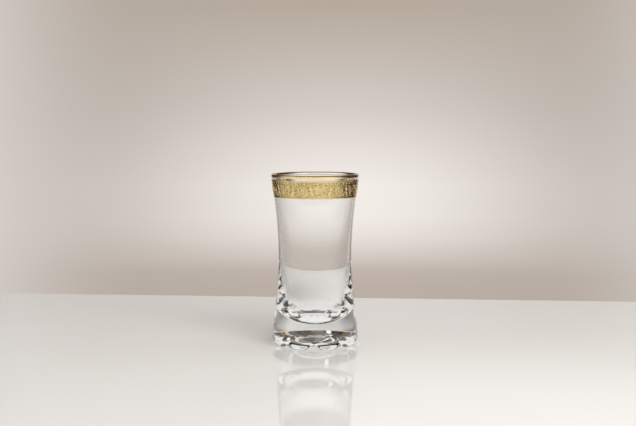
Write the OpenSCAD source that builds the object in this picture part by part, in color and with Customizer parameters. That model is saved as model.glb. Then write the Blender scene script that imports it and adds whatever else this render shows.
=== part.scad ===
// Tall waisted Moroccan tea glass: clear glass on a lobed foot, gilded at the lip and in a wide band.
// Millimetres. The origin is on the axis, on the plane that the lobes stand on, and +Z is up.

/* [Glass outline] */
// Height from the table to the top of the lip
glass_h = 113.7; // [104:0.1:124]
// Outer diameter at the lip
rim_d = 58; // [55:0.5:61]
// Outer diameter at the waist
waist_d = 48.3; // [46:0.1:50]
// Height of the waist above the table
waist_z = 59.7; // [55:0.1:65]
// Outer diameter of the heavy base at its widest ring
belly_d = 57; // [54:0.5:60]
// Height of the widest ring, where the lobed foot begins
belly_z = 7.7; // [7:0.1:9.5]
// Thickness of the wall at the lip, which is rounded over
lip_t = 1.7; // [1.4:0.1:2.2]
// Lean of the wall at the lip, in degrees from upright
rim_lean = 8; // [5:0.5:10]
// Reach of the lip's lean down the upper curve
rim_pull = 25; // [20:1:28]
// Reach of the upright waist up the upper curve
waist_pull_up = 14; // [10:1:18]
// Reach of the upright waist down the lower curve
waist_pull_down = 25; // [20:1:28]
// Reach of the upright widest ring up the lower curve
belly_pull = 7; // [5:0.5:10]

/* [Cavity] */
// Height of the lowest point of the cavity
floor_z = 13.7; // [12.5:0.1:16]
// Reach of the flat floor of the cavity outwards from the axis
floor_pull = 13; // [11:0.5:15]
// Diameter of the cavity where its wall turns into its bowl
bowl_d = 37.6; // [36:0.2:38.6]
// Height of that ring
bowl_z = 26.2; // [24:0.1:29]
// Lean of the cavity's wall at that ring, in degrees from upright
bowl_lean = 11; // [8:1:14]
// Reach of that lean up the wall
bowl_pull_up = 11; // [8:1:14]
// Reach of that lean down the bowl
bowl_pull_down = 5; // [3:0.5:7]
// Thickness of the wall at the waist
waist_t = 2.3; // [2:0.1:2.8]
// Lean of the cavity's wall at the waist, in degrees from upright, which lets the plunger out
draft = 1.6; // [1:0.1:2.5]
// Reach of that lean up and down the wall
draft_pull = 14; // [11:1:16]

/* [Lobed foot] */
// Number of lobes
lobe_n = 8; // [6:1:10]
// Diameter of the ring on which the lobes stand, at its inner edge
foot_ring_d = 46; // [43:0.5:48]
// Squareness of the foot's side, where 2 is an ellipse
side_power = 2.7; // [2.2:0.1:3.2]
// Height of the arches between the lobes
arch_h = 3; // [2:0.1:3.5]
// Depth by which the lobes outreach the foot, which sets how wide they stand
lobe_drop = 3; // [1.5:0.1:4]
// Rounding between the arches and the foot
arch_soft = 1; // [0.6:0.1:1.4]
// Depth ground off each lobe, which gives it a flat to stand on
foot_flat = 0.3; // [0.2:0.05:0.5]
// Height of the steep inner rim of the underside
rim_h = 3.8; // [3:0.1:4.5]
// Power that makes that rim steep
rim_power = 12; // [9:1:16]
// Height of the domed underside at the axis
punt_h = 9.2; // [7.5:0.1:10]
// Powers that shape the dome: the first flattens its crown, the second softens its edge
dome_power = 2.5; // [2:0.1:3]
dome_edge = 1.3; // [1:0.1:1.6]

/* [Gilding] */
// Thickness that stands for the fired gold
gold_t = 0.2; // [0.15:0.01:0.3]
// Height of the gold line down the outside of the wall, below the rounding of the lip
rim_line_out = 0.9; // [0.6:0.1:1.4]
// Height of the gold line down the inside of the wall, below the rounding of the lip
rim_line_in = 0.6; // [0.4:0.1:1]
// Clear glass between the gold line of the lip and the band
band_gap = 1.7; // [1.2:0.1:2.4]
// Height of the band
band_h = 11.4; // [10:0.2:13]
// Height of each plain line along the edges of the band
edge_line_h = 0.7; // [0.5:0.05:1]
// Height by which the lines and dots stand out from the band
relief_t = 0.15; // [0.1:0.01:0.25]
// Number of dots round the band
dot_n = 60; // [48:1:64]
// Diameter of a dot on the band
dot_d = 1; // [0.8:0.05:1.2]
// Clear space between the upper line and the dots
dot_gap = 0.3; // [0.2:0.05:0.5]

/* [Hidden] */
$fn = 96;

// Radii and heights that follow from the driving sizes
rim_r = rim_d / 2;
waist_r = waist_d / 2;
belly_r = belly_d / 2;
foot_ring_r = foot_ring_d / 2;
lip_r = lip_t / 2;
lip_centre = [rim_r - lip_r, glass_h - lip_r];
cavity_waist = [waist_r - waist_t, waist_z];
cavity_ring = [bowl_d / 2, bowl_z];

// A point on the rounding of the lip, at a distance from its centre and an angle from outwards
function lip_point(distance, angle) = lip_centre + distance * [cos(angle), sin(angle)];

// A step up a wall, of a given height and lean
function up_wall(reach, angle) = reach * [tan(angle), 1];

// Each half of a wall is one cubic curve from its lower end to its upper end
lean = [sin(rim_lean), cos(rim_lean)];
wall_top_out = lip_point(lip_r, -rim_lean);
wall_top_in = lip_point(lip_r, 180 - rim_lean);
lower_wall = [
    [belly_r, belly_z],
    [belly_r, belly_z + belly_pull],
    [waist_r, waist_z - waist_pull_down],
    [waist_r, waist_z],
];
upper_wall = [
    [waist_r, waist_z],
    [waist_r, waist_z + waist_pull_up],
    wall_top_out - rim_pull * lean,
    wall_top_out,
];
cavity_bowl = [
    [0, floor_z],
    [floor_pull, floor_z],
    cavity_ring - up_wall(bowl_pull_down, bowl_lean),
    cavity_ring,
];
cavity_wall = [
    cavity_ring,
    cavity_ring + up_wall(bowl_pull_up, bowl_lean),
    cavity_waist - up_wall(draft_pull, draft),
    cavity_waist,
];
cavity_flare = [
    cavity_waist,
    cavity_waist + up_wall(draft_pull, draft),
    wall_top_in - rim_pull * lean,
    wall_top_in,
];

function bezier(p, t) =
    let (u = 1 - t)
    u * u * u * p[0] + 3 * u * u * t * p[1] + 3 * u * t * t * p[2] + t * t * t * p[3];

// The place along a rising curve at which it reaches height z, by halving
halvings = 30;
function place_at(p, z, low = 0, high = 1, n = halvings) =
    let (middle = (low + high) / 2)
    n == 0 ? middle
    : bezier(p, middle)[1] < z ? place_at(p, z, middle, high, n - 1)
    : place_at(p, z, low, middle, n - 1);

function radius_on(p, z) = bezier(p, place_at(p, z))[0];
function outer_r(z) = radius_on(z < waist_z ? lower_wall : upper_wall, z);
function inner_r(z) = radius_on(z < waist_z ? cavity_wall : cavity_flare, z);

// Heights from a to b in n equal steps, both ends included
function heights(a, b, n) = [for (i = [0:n]) a + (b - a) * i / n];
// Points of the outer or the inner wall at the heights zs, moved out by grow
function outer_points(zs, grow = 0) = [for (z = zs) [outer_r(z) + grow, z]];
function inner_points(zs, grow = 0) = [for (z = zs) [inner_r(z) + grow, z]];
function lip_arc(distance) = [
    for (i = [1:lip_steps - 1]) lip_point(distance, 180 * i / lip_steps - rim_lean)
];
function backwards(list) = [for (i = [len(list) - 1:-1:0]) list[i]];

// Heights of the gilding, from the lip downwards
rim_line_low_out = wall_top_out[1] - rim_line_out;
rim_line_low_in = wall_top_in[1] - rim_line_in;
band_top = rim_line_low_out - band_gap;
band_low = band_top - band_h;
upper_line_low = band_top - edge_line_h;
lower_line_top = band_low + edge_line_h;
dot_row_low = upper_line_low - dot_d - 2 * dot_gap;
dot_z = (dot_row_low + upper_line_low) / 2;

// Steps of the curves
belly_steps = 12;
waist_steps = 10;
band_steps = 5;
bowl_steps = 14;
cavity_steps = 8;
flare_steps = 12;
lip_steps = 8;

// The turned section ends in the solid base, above the dome and below the cavity
seam_z = (punt_h + floor_z) / 2;

// Heights at which the walls have points, the same for the glass and for the gold on it
line_zs = heights(wall_top_out[1], rim_line_low_out, 1);
line_zs_in = heights(rim_line_low_in, wall_top_in[1], 1);
lower_line_zs = [band_low, lower_line_top];
upper_line_zs = [upper_line_low, band_top];
band_zs = concat(
    [band_low],
    heights(lower_line_top, dot_row_low, band_steps),
    [upper_line_low, band_top]
);
outer_zs = concat(
    heights(seam_z, waist_z, belly_steps),
    [for (i = [1:waist_steps - 1]) waist_z + (band_low - waist_z) * i / waist_steps],
    band_zs,
    backwards(line_zs)
);
inner_zs = concat(
    heights(bowl_z, waist_z, cavity_steps),
    [for (i = [1:flare_steps]) waist_z + (rim_line_low_in - waist_z) * i / flare_steps],
    [wall_top_in[1]]
);

// The lobed foot: arches are carved softly into a smooth ring, and one of them faces the front, -Y
sectors = 96;
collar_steps = 3;
round_steps = 8;
under_steps = 12;
seam_step = gold_t / 10;
front_angle = 270;
overrun = arch_h;
function lobe_share(angle) = (1 - cos(lobe_n * (angle - front_angle))) / 2;
function arch_z(angle) = arch_h - (arch_h + lobe_drop) * lobe_share(angle);
function carved(z, angle) =
    let (gap = z - arch_z(angle))
    z + (sqrt(gap * gap + arch_soft * arch_soft) - gap) / 2;
function around(r, angle, z) = [r * cos(angle), r * sin(angle), z];

// Collar of the foot: the wall's own curve from the seam down to the widest ring
function collar_point(angle, z) = around(outer_r(z) - seam_step, angle, z);
// Side of the foot: a quarter of a squarish ellipse from the widest ring down to the ring of the lobes
function side_point(angle, turn) = around(
    foot_ring_r + (belly_r - seam_step - foot_ring_r) * pow(cos(turn), 2 / side_power),
    angle,
    carved(belly_z - (belly_z + foot_flat) * pow(sin(turn), 2 / side_power), angle)
);
// Underside: a steep rim and a shallow dome, s being the share of the ring's radius
function under_z(s) =
    let (rim = pow(s, rim_power), dome = pow(1 - pow(s, dome_power), dome_edge))
    rim_h * sqrt(1 - rim) + (punt_h - rim_h) * dome - foot_flat * rim;
function under_point(angle, s) = around(foot_ring_r * s, angle, carved(under_z(s), angle));

collar_zs = heights(seam_z, belly_z, collar_steps);
side_rings = collar_steps + round_steps;
function foot_ring(k) = [
    for (i = [0:sectors - 1])
        let (angle = 360 * i / sectors)
        k < collar_steps ? collar_point(angle, collar_zs[k])
        : k <= side_rings ? side_point(angle, 90 * (k - collar_steps) / round_steps)
        : under_point(angle, cos(90 * (k - side_rings) / under_steps))
];
foot_rings = side_rings + under_steps;
foot_points = concat([for (k = [0:foot_rings - 1]) each foot_ring(k)], [[0, 0, punt_h]]);
foot_faces = concat(
    [[for (i = [sectors - 1:-1:0]) i]],
    [
        for (k = [0:foot_rings - 2])
            for (i = [0:sectors - 1])
                let (a = k * sectors + i, b = k * sectors + (i + 1) % sectors)
                each [[a, b, b + sectors], [a, b + sectors, a + sectors]]
    ],
    [
        for (i = [0:sectors - 1])
            let (a = (foot_rings - 1) * sectors)
            [a + i, a + (i + 1) % sectors, foot_rings * sectors]
    ]
);

module lobed_foot() {
    difference() {
        polyhedron(points = foot_points, faces = foot_faces);
        translate([0, 0, -overrun]) cylinder(r = belly_r, h = overrun);
    }
}

// Wall, cavity and solid base in one section, turned round the axis, on the lobed foot
module glass_body() {
    color("aliceblue", 0.5) {
        rotate_extrude() polygon(concat(
            [[0, seam_z]],
            outer_points(outer_zs),
            lip_arc(lip_r),
            backwards(inner_points(inner_zs)),
            [for (i = [1:bowl_steps]) bezier(cavity_bowl, 1 - i / bowl_steps)]
        ));
        lobed_foot();
    }
}

// Gold line that wraps the lip
module rim_gilding() {
    color("gold") rotate_extrude() polygon(concat(
        outer_points(backwards(line_zs), gold_t),
        lip_arc(lip_r + gold_t),
        inner_points(backwards(line_zs_in), -gold_t),
        inner_points(line_zs_in),
        backwards(lip_arc(lip_r)),
        outer_points(line_zs)
    ));
}

// A ring on the outer wall between two distances from it
module wall_ring(zs, inside, outside) {
    rotate_extrude() polygon(concat(outer_points(zs, outside), backwards(outer_points(zs, inside))));
}

module band_gilding() {
    color("goldenrod") wall_ring(band_zs, 0, gold_t);
}

module band_upper_line() {
    color("gold") wall_ring(upper_line_zs, gold_t, gold_t + relief_t);
}

module band_lower_line() {
    color("gold") wall_ring(lower_line_zs, gold_t, gold_t + relief_t);
}

// Row of dots, each standing square on the band, which is one cone from dot_row_low to the upper line
dot_sides = 12;
dot_seat_r = (outer_r(dot_row_low) + outer_r(upper_line_low)) / 2 + gold_t;
dot_lean = atan((outer_r(upper_line_low) - outer_r(dot_row_low)) / (upper_line_low - dot_row_low));

module dot_cap() {
    cylinder(h = relief_t, d1 = dot_d, d2 = dot_d - 2 * relief_t, $fn = dot_sides);
}

module band_dots() {
    color("gold")
        for (i = [0:dot_n - 1])
            rotate([0, 0, 360 * i / dot_n])
                translate([dot_seat_r, 0, dot_z])
                    rotate([0, 90 + dot_lean, 0])
                        dot_cap();
}

glass_body();
rim_gilding();
band_gilding();
band_upper_line();
band_lower_line();
band_dots();
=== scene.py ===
"""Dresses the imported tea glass: clear glass with a lobed foot, a gilded lip and a relief band of gold.

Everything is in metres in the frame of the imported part: the axis of the glass is Z, the table is Z = 0,
and the side seen in the photograph faces -Y. Positions round the glass are angles from +X.
"""

import math

import bpy
import numpy as np
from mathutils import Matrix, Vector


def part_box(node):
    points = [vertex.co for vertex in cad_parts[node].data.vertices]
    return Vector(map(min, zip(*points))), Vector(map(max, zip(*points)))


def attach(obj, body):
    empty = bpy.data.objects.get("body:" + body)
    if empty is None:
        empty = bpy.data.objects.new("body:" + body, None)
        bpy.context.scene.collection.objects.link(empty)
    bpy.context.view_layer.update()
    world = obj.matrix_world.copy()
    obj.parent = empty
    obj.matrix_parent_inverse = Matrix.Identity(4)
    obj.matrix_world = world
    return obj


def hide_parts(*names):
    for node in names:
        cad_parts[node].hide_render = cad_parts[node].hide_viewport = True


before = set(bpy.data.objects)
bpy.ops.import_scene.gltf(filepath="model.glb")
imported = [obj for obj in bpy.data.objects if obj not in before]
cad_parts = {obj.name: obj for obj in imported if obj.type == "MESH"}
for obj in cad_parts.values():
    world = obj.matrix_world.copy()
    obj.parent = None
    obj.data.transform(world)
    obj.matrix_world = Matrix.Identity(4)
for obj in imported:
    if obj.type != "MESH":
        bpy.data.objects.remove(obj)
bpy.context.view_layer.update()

bl_info = {
    "name": "Gilded tea glass",
    "version": (1, 0, 0),
    "blender": (4, 5, 0),
    "location": "View3D > Sidebar > Tea glass",
    "description": "Clear tea glass with a lobed foot, a gilded lip and a relief band",
    "category": "Object",
}

MM = 0.001
FRONT = math.radians(270)
FULL_TURN = 2 * math.pi

_, GLASS_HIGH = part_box("glass_body")
RIM_LOW, RIM_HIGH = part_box("rim_gilding")
BAND_LOW, BAND_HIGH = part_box("band_gilding")
UPPER_LOW, UPPER_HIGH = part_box("band_upper_line")
LOWER_LOW, LOWER_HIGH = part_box("band_lower_line")
DOTS_LOW, DOTS_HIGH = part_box("band_dots")

# Steps of the meshes round the axis: the glass and the band it carries are the finest
FINE_SECTORS = 320
RING_SECTORS = 256


def length(name, description, default):
    """A size in metres for the sidebar."""
    return bpy.props.FloatProperty(
        name=name, description=description, default=default, unit="LENGTH", precision=5
    )


def angle(name, description, default):
    """An angle for the sidebar, given here in degrees."""
    return bpy.props.FloatProperty(
        name=name, description=description, default=math.radians(default), subtype="ANGLE"
    )


def colour(name, description, default):
    """A linear colour for the sidebar."""
    return bpy.props.FloatVectorProperty(
        name=name, description=description, default=default, subtype="COLOR", size=3, min=0, max=1
    )


class TeaGlassSizes(bpy.types.PropertyGroup):
    """Sizes of the clear glass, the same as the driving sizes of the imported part."""

    height: length("Height", "Table to the top of the lip", GLASS_HIGH.z)
    rim_radius: length("Lip radius", "Outer radius at the lip", GLASS_HIGH.x)
    waist_radius: length("Waist radius", "Outer radius at the waist", 24.15 * MM)
    waist_height: length("Waist height", "Height of the waist", 59.7 * MM)
    belly_radius: length("Base radius", "Outer radius of the base at its widest", 28.5 * MM)
    belly_height: length("Base height", "Height of the widest ring of the base", 7.7 * MM)
    lip: length("Lip", "Thickness of the rounded lip", 1.7 * MM)
    rim_lean: angle("Lip lean", "Lean of the wall at the lip", 8)
    rim_pull: length("Lip pull", "Reach of the lip's lean down the wall", 25 * MM)
    pull_up: length("Waist pull up", "Reach of the upright waist upwards", 14 * MM)
    pull_down: length("Waist pull down", "Reach of the upright waist downwards", 25 * MM)
    belly_pull: length("Base pull", "Reach of the upright base ring upwards", 7 * MM)
    waist_wall: length("Waist wall", "Thickness of the wall at the waist", 2.3 * MM)
    draft: angle("Draft", "Lean of the cavity wall at the waist", 1.6)
    draft_pull: length("Draft pull", "Reach of the draft up and down from the waist", 14 * MM)
    bowl_radius: length("Bowl radius", "Radius of the cavity where its wall meets its bowl", 18.8 * MM)
    bowl_height: length("Bowl height", "Height of that ring", 26.2 * MM)
    bowl_lean: angle("Bowl lean", "Lean of the cavity wall at that ring", 11)
    bowl_pull_up: length("Bowl pull up", "Reach of that lean up the wall", 11 * MM)
    bowl_pull_down: length("Bowl pull down", "Reach of that lean down the bowl", 5 * MM)
    floor_height: length("Floor", "Lowest point of the cavity", 13.7 * MM)
    floor_pull: length("Floor pull", "Reach of the flat floor", 13 * MM)
    lobes: bpy.props.IntProperty(name="Lobes", description="Lobes of the foot", default=8, min=5)
    foot_radius: length("Foot ring", "Radius of the ring of lobes", 23 * MM)
    arch_height: length("Arch", "Height of the arches between the lobes", 3 * MM)
    arch_soft: length("Arch rounding", "Rounding between the arches and the foot", 1.0 * MM)
    lobe_drop: length("Lobe drop", "Depth that sets how wide the lobes stand", 3 * MM)
    foot_flat: length("Foot flat", "Depth ground off each lobe", 0.3 * MM)
    punt_height: length("Punt", "Height of the underside at the axis", 9.2 * MM)
    side_power: bpy.props.FloatProperty(
        name="Side power", description="Squareness of the foot's side", default=2.7, min=2.0
    )
    dome_power: bpy.props.FloatProperty(
        name="Dome power", description="Power of the radius with which the dome falls", default=2.5, min=1.5
    )
    dome_edge: bpy.props.FloatProperty(
        name="Dome edge", description="Power that softens the dome at its edge", default=1.3, min=0.3
    )
    rim_height: length("Inner rim", "Height of the steep rim round the underside", 3.8 * MM)
    rim_power: bpy.props.FloatProperty(
        name="Rim power", description="Power that makes that rim steep", default=12.0, min=4.0
    )


class TeaGlassGilding(bpy.types.PropertyGroup):
    """Sizes and colours of the gilding."""

    film: length("Film", "Thickness of the gold", 0.2 * MM)
    relief: length("Relief", "Height of lines and dots over the film", 0.15 * MM)
    bed: length("Bed", "Depth of the gold in the glass", 0.04 * MM)
    dots: bpy.props.IntProperty(name="Dots", description="Dots round the band", default=60, min=12)
    dot_radius: length("Dot radius", "Radius of a dot", 0.5 * MM)
    repeats: bpy.props.IntProperty(
        name="Repeats", description="Repeats of the scroll ornament round the band", default=7, min=4
    )
    start: angle("Start", "Turn of the ornament from the front", -3.0)
    stroke: length("Stroke", "Half width of a scroll's ridge", 0.3 * MM)
    gold: colour("Gold", "Polished gold", (0.84, 0.66, 0.34))
    # The ground is matt gold, darkened further as painted shade between the raised ornament; the satin gold
    # is lightened beyond polished gold as a painted highlight on the raised ornament and the dots
    ground: colour("Ground", "Matt gold between the ornament", (0.65, 0.495, 0.21))
    satin_and_highlight: colour("Satin gold", "Satin gold of the raised ornament", (0.99, 0.81, 0.465))
    reverse: colour("Reverse", "Gold seen through the glass", (0.95, 0.80, 0.64))


class TeaGlassStage(bpy.types.PropertyGroup):
    """Camera, table, backdrop and light."""

    distance: length("Distance", "Camera to the axis of the glass, level", 0.841)
    eye: length("Eye height", "Camera over the table", 0.1563)
    pitch: angle("Pitch", "Downward tilt of the camera", 4.66)
    yaw: angle("Yaw", "Turn of the camera to the right", 0.135)
    orbit: angle("Orbit", "Turn of the camera round the glass", 2.0)
    focal: bpy.props.FloatProperty(
        name="Focal length", description="In pixels of the picture", default=1270.0
    )
    table_back: length("Table edge", "Table behind the glass", 0.2093)
    wall_radius: length("Wall", "Radius of the room", 1.25)
    ceiling: length("Ceiling", "Height of the ceiling", 1.3)


SETTINGS = (
    ("tea_glass", TeaGlassSizes),
    ("tea_gilding", TeaGlassGilding),
    ("tea_stage", TeaGlassStage),
)
PICTURE_WIDTH = 636
SENSOR = 36.0


def cubic(ends, steps):
    """A cubic curve with four control points, as (steps + 1, 2) points from its first end to its last."""
    t = np.linspace(0, 1, steps + 1)[:, None]
    p = np.array(ends, float)
    return (1 - t) ** 3 * p[0] + 3 * (1 - t) ** 2 * t * p[1] + 3 * (1 - t) * t**2 * p[2] + t**3 * p[3]


class Outline:
    """The section of the glass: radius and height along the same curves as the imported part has."""

    FINE = 600
    LIP_STEPS = 15

    def __init__(self, s):
        self.s = s
        lean = np.array([math.sin(s.rim_lean), math.cos(s.rim_lean)])
        draft = np.array([math.tan(s.draft), 1])
        bowl_lean = np.array([math.tan(s.bowl_lean), 1])
        self.lip_radius = s.lip / 2
        self.lip_centre = np.array([s.rim_radius - self.lip_radius, s.height - self.lip_radius])
        self.top_out = self.lip_point(self.lip_radius, -s.rim_lean)
        self.top_in = self.lip_point(self.lip_radius, math.pi - s.rim_lean)
        waist_in = np.array([s.waist_radius - s.waist_wall, s.waist_height])
        bowl_ring = np.array([s.bowl_radius, s.bowl_height])
        lower = [
            (s.belly_radius, s.belly_height),
            (s.belly_radius, s.belly_height + s.belly_pull),
            (s.waist_radius, s.waist_height - s.pull_down),
            (s.waist_radius, s.waist_height),
        ]
        upper = [
            (s.waist_radius, s.waist_height),
            (s.waist_radius, s.waist_height + s.pull_up),
            self.top_out - s.rim_pull * lean,
            self.top_out,
        ]
        bowl_wall = [
            bowl_ring,
            bowl_ring + s.bowl_pull_up * bowl_lean,
            waist_in - s.draft_pull * draft,
            waist_in,
        ]
        upper_wall = [
            waist_in,
            waist_in + s.draft_pull * draft,
            self.top_in - s.rim_pull * lean,
            self.top_in,
        ]
        self.bowl_ends = [
            (0, s.floor_height),
            (s.floor_pull, s.floor_height),
            bowl_ring - s.bowl_pull_down * bowl_lean,
            bowl_ring,
        ]
        self.outer_curve = np.concatenate([cubic(lower, self.FINE), cubic(upper, self.FINE)[1:]])
        self.inner_curve = np.concatenate([cubic(bowl_wall, self.FINE), cubic(upper_wall, self.FINE)[1:]])

    def lip_point(self, distance, turn):
        """Points on the rounding of the lip, at turns measured from outwards."""
        return self.lip_centre + distance * np.stack([np.cos(turn), np.sin(turn)], axis=-1)

    def lip_arc(self, distance):
        """The rounding of the lip from outside over the top to inside, without its two ends."""
        turns = np.linspace(-self.s.rim_lean, math.pi - self.s.rim_lean, self.LIP_STEPS)[1:-1]
        return self.lip_point(distance, turns)

    def outer(self, z):
        """Outer radius at heights z."""
        return np.interp(z, self.outer_curve[:, 1], self.outer_curve[:, 0])

    def inner(self, z):
        """Inner radius at heights z above the bowl."""
        return np.interp(z, self.inner_curve[:, 1], self.inner_curve[:, 0])

    def lean(self, z):
        """Lean of the outer wall at height z, from upright."""
        step = 0.2 * MM
        return math.atan2(float(self.outer(z + step) - self.outer(z - step)), 2 * step)


def settings(context):
    """The three groups of settings of the scene."""
    return tuple(getattr(context.scene, name) for name, _ in SETTINGS)


def add_mesh(name, points, faces, material, smooth=True):
    """A mesh object at the origin from arrays of points and of four-cornered or three-cornered faces."""
    mesh = bpy.data.meshes.new(name)
    mesh.from_pydata(points.reshape(-1, 3).tolist(), [], faces)
    mesh.validate()
    mesh.update()
    mesh.polygons.foreach_set("use_smooth", np.full(len(mesh.polygons), smooth))
    piece = bpy.data.objects.new(name, mesh)
    bpy.context.scene.collection.objects.link(piece)
    mesh.materials.append(material)
    return piece


def grid_faces(rows, columns, closed_rows=False, closed_columns=False):
    """Corner numbers of the cells of a grid, row by row, whose faces turn from rows to columns."""
    i = np.arange(rows if closed_rows else rows - 1)
    j = np.arange(columns if closed_columns else columns - 1)
    i, j = np.meshgrid(i, j, indexing="ij")
    below, right = (i + 1) % rows, (j + 1) % columns
    here, under = i * columns, below * columns
    corners = np.stack([here + j, here + right, under + right, under + j], -1)
    return corners.reshape(-1, 4).tolist()


def soft_floor(z, level, soft):
    """Heights z raised to at least a level, with a rounding of a size between the two surfaces."""
    return (z + level + np.sqrt((z - level) ** 2 + soft**2)) / 2


def turned(radius, z, turns):
    """Points at a radius and height for each turn round the axis; radius and z are (rows, turns) arrays."""
    return np.stack([radius * np.cos(turns), radius * np.sin(turns), z + 0 * turns], axis=-1)


def turned_ring(outline, sectors):
    """A closed section, counter-clockwise in (radius, height), turned round the axis to a closed ring."""
    turns = np.linspace(0, FULL_TURN, sectors, endpoint=False)
    points = turned(outline[:, :1] + 0 * turns, outline[:, 1:] + 0 * turns, turns)
    faces = grid_faces(len(outline), sectors, True, True)
    return points, faces


class Sock:
    """A socket in a shader expression: sums, products and comparisons add Math nodes."""

    def __init__(self, tree, socket):
        self.tree = tree
        self.socket = socket

    def math(self, operation, *others):
        node = self.tree.nodes.new("ShaderNodeMath")
        node.operation = operation
        for slot, value in zip(node.inputs, (self, *others)):
            plug(self.tree, slot, value)
        return Sock(self.tree, node.outputs[0])

    def __add__(self, other):
        return self.math("ADD", other)

    def __mul__(self, other):
        return self.math("MULTIPLY", other)

    def __sub__(self, other):
        return self.math("SUBTRACT", other)

    def __rsub__(self, other):
        return (self * -1) + other

    def __truediv__(self, other):
        return self.math("DIVIDE", other)

    def smooth(self, low, high):
        """0 below low, 1 above high and smooth between."""
        node = self.tree.nodes.new("ShaderNodeMapRange")
        node.interpolation_type = "SMOOTHSTEP"
        plug(self.tree, node.inputs["Value"], self)
        node.inputs["From Min"].default_value = low
        node.inputs["From Max"].default_value = high
        return Sock(self.tree, node.outputs["Result"])


def plug(tree, slot, value):
    """Links a socket expression to an input, or sets a plain value on it."""
    if isinstance(value, Sock):
        tree.links.new(value.socket, slot)
    elif isinstance(value, bpy.types.Node):
        tree.links.new(value.outputs[0], slot)
    else:
        slot.default_value = value


class Finish:
    """A material under construction."""

    def __init__(self, name):
        self.material = bpy.data.materials.new(name)
        self.material.use_nodes = True
        self.tree = self.material.node_tree
        self.tree.nodes.clear()
        self.output = self.tree.nodes.new("ShaderNodeOutputMaterial")

    def node(self, kind, options=None, **values):
        """Adds a node of a type with its options, then links or sets its inputs; spaces are underscores."""
        node = self.tree.nodes.new(kind)
        for option, value in (options or {}).items():
            setattr(node, option, value)
        names = [socket.identifier if kind.endswith("MixShader") else socket.name for socket in node.inputs]
        for name, value in values.items():
            if name not in names:
                name = name.replace("_", " ")
            plug(self.tree, node.inputs[names.index(name)], value)
        return node

    def sock(self, node, output=0):
        return Sock(self.tree, node.outputs[output])

    def place(self):
        """Object coordinates."""
        return self.sock(self.node("ShaderNodeTexCoord"), "Object")

    def noise(self, scale, detail):
        """Values of a cloudy noise, mostly between 0.3 and 0.7."""
        place = self.place()
        node = self.node("ShaderNodeTexNoise", Vector=place, Scale=scale, Detail=detail, Roughness=0.5)
        return self.sock(node, "Fac")

    def mix(self, factor, a, b):
        """A mix of two colours."""
        node = self.node("ShaderNodeMix", {"data_type": "RGBA"})
        plug(self.tree, node.inputs[0], factor)
        plug(self.tree, node.inputs[6], a)
        plug(self.tree, node.inputs[7], b)
        return self.sock(node, 2)

    def ramp(self, value, stops):
        """A colour for a value, from stops of place and colour."""
        node = self.node("ShaderNodeValToRGB", Fac=value)
        elements = node.color_ramp.elements
        for number, (place, tone) in enumerate(stops):
            element = elements[number] if number < 2 else elements.new(place)
            element.position = place
            element.color = (*tone, 1.0)
        return self.sock(node)

    def surface(self, shader):
        self.tree.links.new(shader.outputs[0], self.output.inputs["Surface"])
        return self.material


# Ranges of strayed() over which a ray starts to count as strayed once, and as strayed twice
ONCE = (0.6, 0.9)
TWICE = (1.6, 1.9)


def strayed(f, path):
    """How far a ray has strayed in the glass: its reflections, and a quarter for each surface it passed."""
    return f.sock(path, "Glossy Depth") + f.sock(path, "Transmission Depth") * 0.25

def within(value, low, high, edge):
    """1 where a value lies between low and high, falling to 0 over an edge on both sides."""
    return value.smooth(low, low + edge) * (1 - value.smooth(high - edge, high))


def rgba(colour_value, factor=1.0):
    """A colour with full alpha, made lighter or darker by a factor."""
    return (*[min(1.0, c * factor) for c in colour_value], 1.0)


def studio_tones(f, way):
    """Tones of the studio round the backdrop along a way from 0 to 1, from its left to its right."""
    black, white, blue = (0.004, 0.004, 0.006), (0.93, 0.95, 1.0), (0.10, 0.10, 0.122)
    cream = (0.62, 0.53, 0.42)
    grey, brown, amber = (0.17, 0.155, 0.13), (0.115, 0.07, 0.03), (0.25, 0.14, 0.04)
    stops = (
        (0.06, black),
        (0.075, white),
        (0.09, black),
        (0.13, black),
        (0.15, amber),
        (0.19, black),
        (0.21, amber),
        (0.235, black),
        (0.29, black),
        (0.30, blue),
        (0.31, black),
        (0.352, black),
        (0.358, white),
        (0.39, white),
        (0.396, black),
        (0.42, grey),
        (0.50, grey),
        (0.515, black),
        (0.535, brown),
        (0.555, black),
        (0.575, brown),
        (0.60, black),
        (0.64, blue),
        (0.69, blue),
        (0.70, black),
        (0.71, cream),
        (0.75, cream),
        (0.76, black),
        (0.78, amber),
        (0.83, amber),
        (0.85, black),
    )
    return f.ramp(way, stops)


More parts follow.
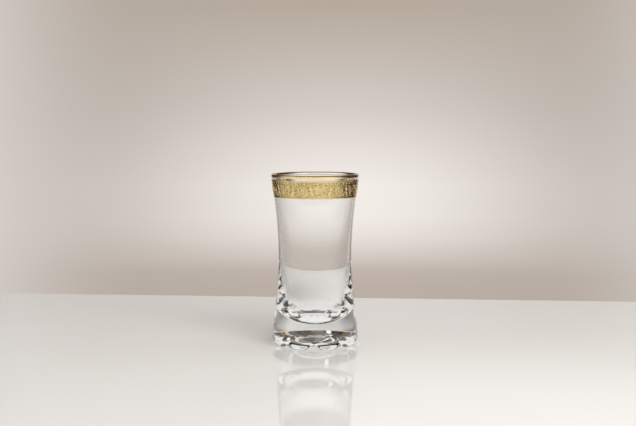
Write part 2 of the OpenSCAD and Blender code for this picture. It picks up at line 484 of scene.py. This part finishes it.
def table_finish():
    """Glossy pale table top, with the light and shade that a solid glass throws on it.

    Path tracing finds little of that light, so the table glows with it instead: pale near the foot,
    dim where it is seen straight through the two sides of the base, and with the tones of the studio
    where it is seen by a detour in the base. Places are in metres on the table.
    """
    f = Finish("table_top")
    tint = f.mix(f.noise(9.0, 2.0), (0.80, 0.785, 0.76, 1), (0.84, 0.825, 0.80, 1))
    top = f.node("ShaderNodeBsdfPrincipled", Base_Color=tint, Roughness=0.05, IOR=1.5)
    split = f.node("ShaderNodeSeparateXYZ", Vector=f.place())
    x, y = f.sock(split, "X"), f.sock(split, "Y")
    away = (x * x + y * y).math("SQRT")
    path = f.node("ShaderNodeLightPath")
    through, straight = f.sock(path, "Is Transmission Ray"), f.sock(path, "Is Camera Ray")

    def glowing(share, tone, under):
        """A shader that gives way, by a share, to a glow of one tone."""
        glow = f.node("ShaderNodeEmission", Strength=1.0, Color=tone)
        return f.node("ShaderNodeMixShader", Fac=share, Shader=under, Shader_001=glow)

    at_foot = straight * (1 - away.smooth(0.022, 0.033)) * 0.65
    near_foot = (1 - away.smooth(0.02, 0.075)) * through * 0.9
    top = glowing(near_foot + at_foot, (0.93, 0.92, 0.90, 1), top)
    middle = -0.002
    at_sides = (x - middle).math("ABSOLUTE").smooth(0.006, 0.022) * within(y, 0.03, 0.065, 0.004)
    undisturbed = 1 - strayed(f, path).smooth(*ONCE)
    top = glowing(at_sides * through * undisturbed * 0.85, (0.16, 0.15, 0.14, 1), top)
    behind = within(y, 0.01, 0.2, 0.01) * within(x, -0.09, 0.09, 0.02)
    detour = strayed(f, path).smooth(*TWICE)
    return f.surface(glowing(detour * behind, studio_tones(f, 0.5 - x * 7.5), top))


def backdrop_tones(f, turn, height):
    """The lit backdrop: a ramp over height, which fades to both sides as a bell curve of the angle."""
    lit = f.ramp(
        height + 0.5,
        (
            (0.20, (0.47, 0.40, 0.36)),
            (0.366, (0.50, 0.43, 0.38)),
            (0.390, (0.53, 0.46, 0.42)),
            (0.415, (0.66, 0.60, 0.55)),
            (0.448, (0.81, 0.75, 0.71)),
            (0.480, (0.89, 0.84, 0.80)),
            (0.529, (0.90, 0.85, 0.81)),
            (0.593, (0.79, 0.74, 0.69)),
            (0.657, (0.66, 0.61, 0.57)),
            (0.738, (0.56, 0.50, 0.45)),
            (0.818, (0.48, 0.41, 0.345)),
            (0.950, (0.40, 0.34, 0.28)),
        ),
    )
    spread = 0.2
    bell = (turn * turn * (-0.5 / spread**2)).math("EXPONENT")
    wall_tone = f.mix(turn.smooth(0.25, 0.6), (0.46, 0.405, 0.36, 1), (0.76, 0.72, 0.68, 1))
    return f.mix(bell, wall_tone, lit)


def refracted_tones(f, path, aside, rise, backdrop):
    """What rays through the glass see: the backdrop, grey and then pale walls, and a dark ceiling.

    The tones of the studio lie beside the backdrop and over it. They reach lower after one reflection
    and cover the backdrop after two, and for a ray that strayed twice they run the other way and twice
    as wide. After three reflections the sides are pale, and after four everything is.
    """
    turn = aside.math("ABSOLUTE")
    bounced = f.sock(path, "Glossy Depth")
    beside_starts, pale_walls_start = (0.52, 0.6), (1.15, 1.35)
    reach = strayed(f, path).smooth(*TWICE) * -0.9 + 0.6
    tones = studio_tones(f, aside * reach + 0.5)
    pale_walls = turn.smooth(*pale_walls_start)
    beside = turn.smooth(*beside_starts) * (1 - pale_walls) * rise.smooth(0.08, 0.25)
    lowered = bounced.smooth(0.2, 0.8) * 0.15
    over = (rise + lowered).smooth(0.22, 0.30) * (1 - turn.smooth(1.6, 2.2))
    covered = bounced.smooth(1.2, 1.8) * (1 - turn.smooth(0.6, 0.75))
    seen = f.mix(turn.smooth(0.45, 0.7), backdrop, (0.60, 0.57, 0.53, 1))
    seen = f.mix(pale_walls, seen, (0.90, 0.88, 0.85, 1))
    seen = f.mix(beside.math("MAXIMUM", over.math("MAXIMUM", covered)), seen, tones)
    seen = f.mix(rise.smooth(2.0, 3.0), seen, (0.07, 0.06, 0.05, 1))
    pale_sides = bounced.smooth(2.2, 2.8) * turn.smooth(0.7, 0.85)
    pale_all = bounced.smooth(3.2, 3.8)
    return f.mix(pale_sides.math("MAXIMUM", pale_all), seen, (0.85, 0.83, 0.80, 1))


def mirrored_tones(f, aside, rise, across, backdrop):
    """What gold and polished surfaces mirror.

    That is dark slatted sides, a pale front that dims at its middle, the backdrop, whose upper part is
    paler on its right, and a strip of light in a dark ceiling.
    """
    turn = aside.math("ABSOLUTE")
    slats = (aside * 38 + rise * 9).math("SINE").smooth(-0.2, 0.9)
    sides = f.mix(slats, (0.02, 0.015, 0.01, 1), (0.20, 0.125, 0.055, 1))
    front = f.mix(turn.smooth(2.5, 3.1), (0.95, 0.93, 0.90, 1), (0.78, 0.765, 0.74, 1))
    lopsided = turn - aside * 0.12
    mirrored = f.mix(lopsided.smooth(1.25, 2.15), sides, front)
    upper = f.mix(aside.smooth(-0.14, 0.08), (0.56, 0.525, 0.48, 1), (0.80, 0.76, 0.71, 1))
    behind = f.mix(rise.smooth(0.16, 0.26), backdrop, upper)
    mirrored = f.mix(turn.smooth(0.42, 0.56), behind, mirrored)
    strip = within(across, -0.42, 0.28, 0.12)
    overhead = f.mix(strip, (0.05, 0.035, 0.02, 1), (0.80, 0.76, 0.70, 1))
    return f.mix(rise.smooth(1.1, 1.6), mirrored, overhead)


def studio_finish():
    """The studio round the table, whose tones differ by the way that a ray has come.

    aside is the angle from the middle of the backdrop, in radians, turn the same without its sign, and
    rise the height over the distance from the axis.
    """
    f = Finish("studio")
    split = f.node("ShaderNodeSeparateXYZ", Vector=f.place())
    x, y, height = (f.sock(split, axis) for axis in "XYZ")
    aside = x.math("ARCTAN2", y)
    rise = height / (x * x + y * y).math("SQRT")
    path = f.node("ShaderNodeLightPath")
    backdrop = backdrop_tones(f, aside.math("ABSOLUTE"), height)
    refracted = refracted_tones(f, path, aside, rise, backdrop)
    mirrored = mirrored_tones(f, aside, rise, x / height, backdrop)
    tint = f.mix(f.sock(path, "Is Reflection Ray"), refracted, mirrored)
    tint = f.mix(f.sock(path, "Is Camera Ray"), tint, backdrop)
    tint = f.mix(f.sock(path, "Is Diffuse Ray"), tint, (0.25, 0.24, 0.23, 1))
    return f.surface(f.node("ShaderNodeEmission", Strength=1.0, Color=tint))


def glass_finish():
    """Clear fire-polished glass with the faint waves that moulded glass has."""
    f = Finish("clear_glass")
    waves = f.noise(55.0, 2.0)
    bump = f.node("ShaderNodeBump", Strength=0.04, Distance=0.0004, Height=waves)
    return f.surface(
        f.node(
            "ShaderNodeBsdfPrincipled",
            Base_Color=(0.985, 0.99, 0.985, 1.0),
            Roughness=0.0,
            IOR=1.5,
            Transmission_Weight=1.0,
            Normal=f.sock(bump, "Normal"),
        )
    )


def gold_finish(name, tone, low, high, grain, reverse=None, pitch=2600.0, shade=None):
    """Fired gold: roughness between low and high in soft patches, with a grain of a pitch in its surface.

    shade takes the finish and its tint and gives the tint with its own painted highlights and shade.
    """
    f = Finish(name)
    patches = f.noise(140.0, 4.0)
    fine = f.noise(pitch, 2.0)
    tint = f.mix(patches.smooth(0.35, 0.65), rgba(tone, 0.92), rgba(tone, 1.06))
    # Painted highlights and shade, where a caller gives them
    if shade is not None:
        tint = shade(f, tint)
    rough = patches.smooth(0.3, 0.7) * (high - low) + low
    if reverse is not None:
        seen_back = f.sock(f.node("ShaderNodeAttribute", {"attribute_name": "reverse"}), "Fac")
        tint = f.mix(seen_back, tint, rgba(reverse))
        rough = rough - seen_back * 0.15
    bump = f.node("ShaderNodeBump", Strength=grain, Distance=0.00005, Height=fine)
    return f.surface(
        f.node(
            "ShaderNodeBsdfPrincipled",
            Base_Color=tint,
            Metallic=1.0,
            Roughness=rough,
            Normal=f.sock(bump, "Normal"),
        )
    )


class TEAGLASS_OT_glass(bpy.types.Operator):
    """Clear glass body: a turned section whose foot swells into lobes."""

    bl_idname = "teaglass.glass"
    bl_label = "Glass body"

    UNDER_STEPS = 56
    SIDE_STEPS = 32
    WALL_STEPS = 92
    CAVITY_STEPS = 72
    BOWL_STEPS = 40
    FLAT_SOFT = 0.03 * MM

    def execute(self, context):
        s, _, _ = settings(context)
        line = Outline(s)
        turns = np.linspace(0, FULL_TURN, FINE_SECTORS, endpoint=False)
        # A lobe's share is 1 on a lobe and 0 in an arch; the ring dips under the table by the flat
        lobe = (1 - np.cos(s.lobes * (turns - FRONT))) / 2
        arch = s.arch_height - (s.arch_height + s.lobe_drop) * lobe
        low = -s.foot_flat

        # Underside: a broad dome with a steep rim, down to the foot ring
        share = np.sin(np.linspace(0, math.pi / 2, self.UNDER_STEPS))[1:, None]
        rim = (1 - share**s.rim_power) ** 0.5
        dome = (1 - share**s.dome_power) ** s.dome_edge
        under_r = s.foot_radius * share + 0 * turns
        under_z = s.rim_height * rim + (s.punt_height - s.rim_height) * dome + low * share**s.rim_power
        under_z = under_z + 0 * turns
        # Side of the foot: a quarter of a squarish ellipse from the ring of lobes up to the widest ring
        turn = np.radians(np.linspace(90, 0, self.SIDE_STEPS))[1:-1, None]
        across = np.append(np.cos(turn) ** (2 / s.side_power), [[1.0]], axis=0)
        sink = np.append(np.sin(turn) ** (2 / s.side_power), [[0.0]], axis=0)
        side_r = s.foot_radius + (s.belly_radius - s.foot_radius) * across + 0 * turns
        side_z = s.belly_height - (s.belly_height - low) * sink + 0 * turns
        # Walls, lip and cavity are the same at every turn
        up = np.linspace(s.belly_height, line.top_out[1], self.WALL_STEPS)[1:]
        lip = line.lip_arc(line.lip_radius)
        down = np.linspace(line.top_in[1], s.bowl_height, self.CAVITY_STEPS)[:-1]
        bowl = cubic(line.bowl_ends, self.BOWL_STEPS)[:0:-1]
        section = np.concatenate(
            [
                np.stack([line.outer(up), up], -1),
                lip,
                np.stack([line.inner(down), down], -1),
                bowl,
            ]
        )
        radius = np.concatenate([under_r, side_r, section[:, :1] + 0 * turns])
        height = np.concatenate([under_z, side_z, section[:, 1:] + 0 * turns])
        # Arches carved softly into the foot ring, then the flats of the lobes that stay
        height = soft_floor(height, arch, s.arch_soft)
        height = soft_floor(height, 0.0, self.FLAT_SOFT)

        rows = len(radius)
        body = turned(radius, height, turns).reshape(-1, 3)
        poles = np.array([[0, 0, s.punt_height], [0, 0, s.floor_height]])
        points = np.concatenate([body, poles])
        faces = grid_faces(rows, FINE_SECTORS, False, True)
        last = (rows - 1) * FINE_SECTORS
        count = rows * FINE_SECTORS
        j = np.arange(FINE_SECTORS)
        after = (j + 1) % FINE_SECTORS
        faces += np.stack([0 * j + count, after, j], -1).tolist()
        faces += np.stack([0 * j + count + 1, last + j, last + after], -1).tolist()
        piece = add_mesh("tea_glass_body", points, faces, glass_finish())
        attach(piece, "root")
        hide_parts("glass_body")
        return {"FINISHED"}


def mark_reverse(piece, outline, shift):
    """Marks the points that lie in the glass, so that the material can show the reverse of the gold."""
    points = np.zeros(len(piece.data.vertices) * 3)
    piece.data.vertices.foreach_get("co", points)
    points = points.reshape(-1, 3)
    radius = np.hypot(points[:, 0], points[:, 1])
    inside = (radius < outline.outer(points[:, 2]) + shift).astype(float)
    attribute = piece.data.attributes.new("reverse", "FLOAT", "POINT")
    attribute.data.foreach_set("value", inside)


class TEAGLASS_OT_rim(bpy.types.Operator):
    """Gold line that wraps the lip, bedded a little in the glass."""

    bl_idname = "teaglass.rim"
    bl_label = "Gilded lip"

    STEPS = 6
    INNER_LINE = 0.6 * MM
    # Painted highlight inside the lip and at its lower edge, and painted shade along its top
    LIP_PAINTED_HIGHLIGHT = (1.0, 0.96, 0.86, 1.0)
    LIP_PAINTED_SHADE = (0.28, 0.16, 0.05, 1.0)
    # Where the lip's painted highlights and painted shade start and end: inwards from the lip's middle,
    # up from the gold's lower edge, and down from its top
    INWARDS = 0.3 * MM
    LOWER_EDGE = (0.2 * MM, 0.5 * MM)
    TOP_LINE = (0.65 * MM, 0.45 * MM)

    def execute(self, context):
        s, g, _ = settings(context)
        line = Outline(s)
        low_out = RIM_LOW.z
        low_in = line.top_in[1] - self.INNER_LINE
        out_z = np.linspace(low_out, line.top_out[1], self.STEPS)
        in_z = np.linspace(line.top_in[1], low_in, self.STEPS)

        def wrap(grow):
            """The gold's section at a distance from the glass, from outside over the lip to inside."""
            return np.concatenate(
                [
                    np.stack([line.outer(out_z) + grow, out_z], -1),
                    line.lip_arc(line.lip_radius + grow),
                    np.stack([line.inner(in_z) - grow, in_z], -1),
                ]
            )

        outline = np.concatenate([wrap(g.film), wrap(-g.bed)[::-1]])
        points, faces = turned_ring(outline, RING_SECTORS)

        def lip_painted_light(f, tint):
            """Painted highlights inside the lip and along its lower edge, and a painted dark line of shade
            on top.
            """
            split = f.node("ShaderNodeSeparateXYZ", Vector=f.place())
            x, y, z = (f.sock(split, axis) for axis in "XYZ")
            radius = (x * x + y * y).math("SQRT")
            middle = float(line.lip_centre[0])
            inside = 1 - radius.smooth(middle - self.INWARDS, middle)
            edge = 1 - z.smooth(*(low_out + up for up in self.LOWER_EDGE))
            top = z.smooth(*(RIM_HIGH.z - down for down in self.TOP_LINE))
            # Paints the highlights first, then the line of shade on top
            tint = f.mix(inside.math("MAXIMUM", edge), tint, self.LIP_PAINTED_HIGHLIGHT)
            return f.mix(top, tint, self.LIP_PAINTED_SHADE)

        gold = gold_finish("bright_gold", g.gold, low=0.04, high=0.10, grain=0.03, shade=lip_painted_light)
        piece = add_mesh("rim_gold", points, faces, gold)
        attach(piece, "root")
        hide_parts("rim_gilding")
        return {"FINISHED"}


class TEAGLASS_OT_band(bpy.types.Operator):
    """Ground film of the wide band."""

    bl_idname = "teaglass.band"
    bl_label = "Gold band"

    STEPS = 40
    # Punched pits: cells in a metre, the distances from a cell's middle at which a pit ends, its painted
    # shade
    CELLS = 700.0
    PIT = (0.30, 0.48)
    PIT_PAINTED_SHADE = 0.55

    def execute(self, context):
        s, g, _ = settings(context)
        line = Outline(s)
        z = np.linspace(BAND_LOW.z, BAND_HIGH.z, self.STEPS)
        outside = np.stack([line.outer(z) + g.film, z], -1)
        inside = np.stack([line.outer(z) - g.bed, z], -1)
        points, faces = turned_ring(np.concatenate([outside, inside[::-1]]), FINE_SECTORS)

        def painted_pit_shade(f, tint):
            """A ground with small pits, each round the middle of a cell of its own, darkened as painted
            shade.
            """
            cells = f.node("ShaderNodeTexVoronoi", Vector=f.place(), Scale=self.CELLS)
            pits = 1 - f.sock(cells, "Distance").smooth(*self.PIT)
            # Painted shade in the pits
            return f.mix(pits, tint, rgba(g.ground, self.PIT_PAINTED_SHADE))

        # Matt ground, darker as painted shade between the raised ornament
        gold = gold_finish(
            "band_gold",
            g.ground,
            low=0.16,
            high=0.26,
            grain=0.6,
            reverse=g.reverse,
            pitch=1300.0,
            shade=painted_pit_shade,
        )
        piece = add_mesh("band_ground", points, faces, gold)
        mark_reverse(piece, line, g.film / 2)
        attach(piece, "root")
        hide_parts("band_gilding")
        return {"FINISHED"}


class TEAGLASS_OT_lines(bpy.types.Operator):
    """Plain raised lines along both edges of the band."""

    bl_idname = "teaglass.lines"
    bl_label = "Edge lines"

    STEPS = 9

    def execute(self, context):
        s, g, _ = settings(context)
        line = Outline(s)
        gold = gold_finish("line_gold", g.gold, low=0.12, high=0.22, grain=0.05)
        edges = (
            ("upper_edge_line", UPPER_LOW.z, UPPER_HIGH.z, "band_upper_line"),
            ("lower_edge_line", LOWER_LOW.z, LOWER_HIGH.z, "band_lower_line"),
        )
        for name, low, high, node in edges:
            across = np.linspace(0, math.pi, self.STEPS)
            z = (low + high) / 2 - (high - low) / 2 * np.cos(across)
            swell = np.sin(across) ** 0.5
            outside = np.stack([line.outer(z) + g.film + g.relief * swell, z], -1)
            inside = np.stack([line.outer(z) + g.film / 2, z], -1)
            points, faces = turned_ring(np.concatenate([outside, inside[::-1]]), RING_SECTORS)
            piece = add_mesh(name, points, faces, gold)
            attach(piece, "root")
            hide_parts(node)
        return {"FINISHED"}


class TEAGLASS_OT_dots(bpy.types.Operator):
    """Row of domed dots under the upper line."""

    bl_idname = "teaglass.dots"
    bl_label = "Dots"

    def execute(self, context):
        s, g, _ = settings(context)
        line = Outline(s)
        middle = (DOTS_LOW.z + DOTS_HIGH.z) / 2
        # Satin gold, lightened as a painted highlight on the dots
        gold = gold_finish("dot_gold", g.satin_and_highlight, low=0.10, high=0.20, grain=0.05)
        turns = np.linspace(0, FULL_TURN, g.dots, endpoint=False)
        points, faces = domes(line, g, turns, np.full(g.dots, middle), g.dot_radius)
        piece = add_mesh("dot_row", points, faces, gold)
        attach(piece, "root")
        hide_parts("band_dots")
        return {"FINISHED"}


def on_wall(line, turn, z, rise):
    """Points of the outer wall at turns and heights, at a distance rise from it."""
    radius = line.outer(z) + rise
    return np.stack([radius * np.cos(turn), radius * np.sin(turn), z], axis=-1)


def repeated(faces, per, count):
    """The faces of one shape, as numbers of its points, for count copies that have per points each."""
    faces = np.array(faces)
    return (faces[None] + np.arange(count)[:, None, None] * per).reshape(-1, faces.shape[1]).tolist()


def domes(line, g, turns, heights, dome_radius, sides=12, rings=3):
    """Domed dots on the band at given turns and heights.

    Each dome is rings of points whose height falls as the cosine of their share of the radius, with a
    pole on top and a flat disc bedded in the film.
    """
    around = np.linspace(0, FULL_TURN, sides, endpoint=False)
    share = np.linspace(0, 1, rings + 1)[1:]
    swell = np.concatenate([np.cos(share * math.pi / 2), [0.0]])
    across = np.concatenate([share, [1.0]])
    sink = np.concatenate([np.zeros(rings), [-0.5]])
    dome_radius = np.broadcast_to(dome_radius, heights.shape)[:, None, None]
    along = dome_radius * across[None, :, None] * np.cos(around)
    up = dome_radius * across[None, :, None] * np.sin(around)
    rise = g.film + g.relief * swell[None, :, None] + g.film * sink[None, :, None]
    z = heights[:, None, None] + up
    body = on_wall(line, turns[:, None, None] + along / line.outer(heights)[:, None, None], z, rise + 0 * z)
    top = on_wall(line, turns, heights, g.film + g.relief)
    points = np.concatenate([body.reshape(len(turns), -1, 3), top[:, None]], axis=1)
    rows = rings + 1
    per = rows * sides + 1
    j = np.arange(sides)
    cap = np.stack([0 * j + rows * sides, j, (j + 1) % sides], -1)
    side = np.array(grid_faces(rows, sides, False, True))[:, ::-1]
    lid = [list(range(rows * sides - 1, (rows - 1) * sides - 1, -1))]
    count = len(turns)
    faces = repeated(side, per, count) + repeated(cap, per, count) + repeated(lid, per, count)
    return points, faces


def ridges(line, g, paths, widths, turns, middle):
    """Rounded ridges on the band along paths, once at each of the turns.

    paths is (ridges, steps, 2): the way along the wall and up from the middle of the band. A ridge's
    section has five corners, set off square to the path by its half width; its flanks run down into
    the film, and its height shrinks with its width towards its pointed ends.
    """
    way = np.gradient(paths, axis=1)
    way /= np.linalg.norm(way, axis=-1, keepdims=True)
    square = np.stack([-way[..., 1], way[..., 0]], -1)
    offset = np.array([-1.0, -0.5, 0.0, 0.5, 1.0])
    swell = np.array([0.0, 0.85, 1.0, 0.85, 0.0])
    sink = np.array([-0.5, 0.0, 0.0, 0.0, -0.5])
    place = paths[:, :, None] + square[:, :, None] * (widths[..., None] * offset)[..., None]
    full = (widths / widths.max()) ** 0.5
    rise = g.film + g.relief * full[..., None] * swell + g.film * sink
    z = middle + place[..., 1]
    turn = turns[:, None, None, None] + place[None, ..., 0] / line.outer(middle)
    points = on_wall(line, turn, z[None] + 0 * turn, rise[None])
    ridge_count, steps = paths.shape[:2]
    per = steps * len(offset)
    side = np.array(grid_faces(steps, len(offset), False, True))[:, ::-1]
    ends = [list(range(len(offset))), list(range(per - 1, per - 1 - len(offset), -1))]
    count = len(turns) * ridge_count
    return points, repeated(side, per, count) + repeated(ends, per, count)


def scroll(repeat, stroke):
    """One repeat of a running scroll, in the manner of traditional leafy scrollwork.

    A stem waves from under a spiral to over a roundel of two rings and back: its height is a cosine of
    its way. Leaves spring from where it crosses the middle; a leaf's heading turns evenly along it.
    Gives the paths, their half widths, and the beads as (along, up, radius).
    """
    t = np.linspace(0, 1, 28)
    quarter = repeat / 4
    # How far the stem and the beads swing from the middle, then the radii of spiral and rings
    reach = 3.5 * MM
    spiral, eye = 3.3 * MM, 0.9 * MM
    ring, inner_ring = 3.2 * MM, 1.95 * MM
    tick, comma = 1.5 * MM, 1.3 * MM

    def arc(along, start_r, end_r, start, turns):
        """A spiral or ring whose radius runs evenly from start_r to end_r."""
        around = math.radians(start) + t * turns * FULL_TURN
        radius = start_r + (end_r - start_r) * t
        return np.stack([along + radius * np.cos(around), radius * np.sin(around)], -1)

    def leaf(along, up, heading, size, bend):
        heading = math.radians(heading) + math.radians(bend) * t
        return np.stack([along + size * t * np.cos(heading), up + size * t * np.sin(heading)], -1)

    def stem(along, side):
        return np.stack([along + 2 * quarter * t, -side * reach * np.cos(math.pi * t)], -1)

    lines = [
        stem(-quarter, 1),
        stem(quarter, -1),
        arc(-quarter, spiral, eye, -90, 1.75),
        arc(quarter, ring, ring, 90, 1.0),
        arc(quarter, inner_ring, inner_ring, 20, 0.8),
    ]
    ticks = [leaf(quarter, 0.0, 30 + 120 * k, tick, 30) for k in range(3)]
    leaves = []
    for along, side in ((0.0, 1), (2 * quarter, -1)):
        for flip in (1, -1):
            for heading, size, bend in ((126, 3.5, -45), (154, 2.7, -55), (62, 2.3, 40)):
                path = leaf(0.0, 0.35 * MM, heading, size * MM, bend) * flip
                leaves.append(path * (side, 1) + (along, 0))
    commas = []
    for along, side in ((0.0, 1), (2 * quarter, -1)):
        for way, up in ((-1.75, 3.75), (-0.6, 3.95), (2.3, 3.7), (3.1, 3.3)):
            for flip in (1, -1):
                path = leaf(way * MM, up * MM, -60 if way < 0 else -120, comma, 25) * flip
                commas.append(path * (side, 1) + (along, 0))
    ends = np.clip(np.minimum(t, 1 - t) * 9, 0.25, 1)
    drop = np.clip(np.sin(math.pi * t**0.8) ** 0.8, 0.15, 1)
    paths = np.array(lines + ticks + leaves + commas)
    widths = np.array(
        [ends * stroke] * len(lines)
        + [drop * stroke * 0.9] * len(ticks)
        + [drop * stroke * 1.15] * len(leaves)
        + [drop * stroke] * len(commas)
    )
    beads = np.array(
        [
            (-quarter, 0.0, 0.55),
            (quarter, 0.0, 0.5),
            (-0.42 * repeat, reach, 0.4),
            (-0.33 * repeat + quarter * 0.6, 3.6 * MM, 0.35),
            (0.10 * repeat, -reach, 0.4),
            (0.40 * repeat, -reach, 0.4),
        ]
    )
    return paths, widths, beads


class TEAGLASS_OT_ornament(bpy.types.Operator):
    """Raised scroll ornament of the band, with its beads."""

    bl_idname = "teaglass.ornament"
    bl_label = "Scroll ornament"

    def execute(self, context):
        s, g, _ = settings(context)
        line = Outline(s)
        low, high = LOWER_HIGH.z, DOTS_LOW.z
        middle = (low + high) / 2
        repeat = FULL_TURN * float(line.outer(middle)) / g.repeats
        paths, widths, beads = scroll(repeat, g.stroke)
        turns = FRONT + g.start + np.linspace(0, FULL_TURN, g.repeats, endpoint=False)
        # Satin gold, lightened as a painted highlight on the raised ornament
        gold = gold_finish("ornament_gold", g.satin_and_highlight, low=0.10, high=0.20, grain=0.08)
        points, faces = ridges(line, g, paths, widths, turns, middle)
        bead_turns = turns[:, None] + beads[None, :, 0] / line.outer(middle)
        heights = middle + np.broadcast_to(beads[:, 1], bead_turns.shape)
        sizes = np.broadcast_to(beads[:, 2] * MM, bead_turns.shape)
        bead_points, bead_faces = domes(
            line, g, bead_turns.ravel(), heights.ravel(), sizes.ravel(), sides=10, rings=2
        )
        for name, mesh_points, mesh_faces in (
            ("scroll_relief", points, faces),
            ("scroll_beads", bead_points, bead_faces),
        ):
            piece = add_mesh(name, mesh_points, mesh_faces, gold)
            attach(piece, "root")
        return {"FINISHED"}


class TEAGLASS_OT_stage(bpy.types.Operator):
    """Camera, table, backdrop and soft studio light."""

    bl_idname = "teaglass.stage"
    bl_label = "Stage"

    def execute(self, context):
        _, _, st = settings(context)
        self.camera(context, st)
        self.table(st)
        self.room(st)
        self.lights(context)
        context.scene.view_settings.view_transform = "Standard"
        cycles = context.scene.cycles
        cycles.max_bounces = 24
        cycles.transmission_bounces = 24
        cycles.glossy_bounces = 12
        return {"FINISHED"}

    def camera(self, context, st):
        """The camera of the photograph."""
        data = bpy.data.cameras.new("photo_camera")
        data.sensor_width = SENSOR
        data.lens = st.focal / PICTURE_WIDTH * SENSOR
        data.clip_start = 0.01
        camera = bpy.data.objects.new("photo_camera", data)
        context.scene.collection.objects.link(camera)
        around = FRONT + st.orbit
        camera.location = (st.distance * math.cos(around), st.distance * math.sin(around), st.eye)
        camera.rotation_euler = (math.pi / 2 - st.pitch, 0, st.orbit - st.yaw)
        context.scene.camera = camera

    def table(self, st):
        """A glossy pale table top with a straight far edge."""
        reach, left, right, slant = 1.1, -0.5, 0.4, 0.06
        thick = 0.03
        corners = np.array(
            [
                [left, -reach, 0],
                [right, -reach, 0],
                [right, st.table_back - right * slant, 0],
                [left, st.table_back - left * slant, 0],
            ]
        )
        points = np.concatenate([corners, corners - [0, 0, thick]])
        faces = [[0, 1, 2, 3], [7, 6, 5, 4], [0, 4, 5, 1], [1, 5, 6, 2], [2, 6, 7, 3], [3, 7, 4, 0]]
        add_mesh("table", points, faces, table_finish(), smooth=False)

    def room(self, st):
        """A round room with a flat floor and ceiling, which glows with the tones of the studio."""
        rows, sectors, floor = 40, 96, -0.8
        turns = np.linspace(0, FULL_TURN, sectors, endpoint=False)
        z = np.linspace(floor, st.ceiling, rows)[:, None]
        points = turned(st.wall_radius + 0 * z + 0 * turns, z + 0 * turns, turns).reshape(-1, 3)
        faces = grid_faces(rows, sectors, False, True)
        count = len(points)
        points = np.concatenate([points, [[0, 0, st.ceiling], [0, 0, floor]]])
        j = np.arange(sectors)
        after = (j + 1) % sectors
        faces += np.stack([j + count - sectors, after + count - sectors, 0 * j + count], -1).tolist()
        faces += np.stack([after, j, 0 * j + count + 1], -1).tolist()
        add_mesh("studio_room", points, faces, studio_finish())

    def lights(self, context):
        """Soft lamps over the front and over the glass, and a dim world."""
        lamps = (
            ("front_softbox", (0.4, -0.9, 0.85), (0.9, 0.6), 13.4),
            ("top_softbox", (0.2, 0.0, 1.15), (0.8, 0.8), 3.7),
        )
        for name, place, size, energy in lamps:
            data = bpy.data.lights.new(name, "AREA")
            data.shape = "RECTANGLE"
            data.size, data.size_y = size
            data.energy = energy
            light = bpy.data.objects.new(name, data)
            light.location = place
            aim = -np.array(place)
            light.rotation_euler = (
                math.atan2(math.hypot(aim[0], aim[1]), -aim[2]),
                0,
                math.atan2(-aim[0], aim[1]),
            )
            light.visible_glossy = False
            light.visible_transmission = False
            context.scene.collection.objects.link(light)
        world = bpy.data.worlds.new("room")
        world.use_nodes = True
        background = world.node_tree.nodes["Background"]
        background.inputs["Color"].default_value = (0.1, 0.1, 0.1, 1)
        context.scene.world = world


class TEAGLASS_PT_panel(bpy.types.Panel):
    """Lists the settings and the makers of the pieces."""

    bl_label = "Tea glass"
    bl_idname = "TEAGLASS_PT_panel"
    bl_space_type = "VIEW_3D"
    bl_region_type = "UI"
    bl_category = "Tea glass"

    def draw(self, context):
        for name, group in SETTINGS:
            box = self.layout.box()
            for prop in group.__annotations__:
                box.prop(getattr(context.scene, name), prop)
        for maker in MAKERS:
            self.layout.operator(maker.bl_idname)


MAKERS = (
    TEAGLASS_OT_stage,
    TEAGLASS_OT_glass,
    TEAGLASS_OT_rim,
    TEAGLASS_OT_band,
    TEAGLASS_OT_lines,
    TEAGLASS_OT_dots,
    TEAGLASS_OT_ornament,
)


def register():
    for _, group in SETTINGS:
        bpy.utils.register_class(group)
    for kind in (*MAKERS, TEAGLASS_PT_panel):
        bpy.utils.register_class(kind)
    for name, group in SETTINGS:
        setattr(bpy.types.Scene, name, bpy.props.PointerProperty(type=group))


def unregister():
    for name, _ in SETTINGS:
        delattr(bpy.types.Scene, name)
    for kind in (TEAGLASS_PT_panel, *reversed(MAKERS)):
        bpy.utils.unregister_class(kind)
    for _, group in reversed(SETTINGS):
        bpy.utils.unregister_class(group)


def main():
    register()
    for maker in MAKERS:
        group, call = maker.bl_idname.split(".")
        getattr(getattr(bpy.ops, group), call)()


if __name__ == "__main__":
    main()
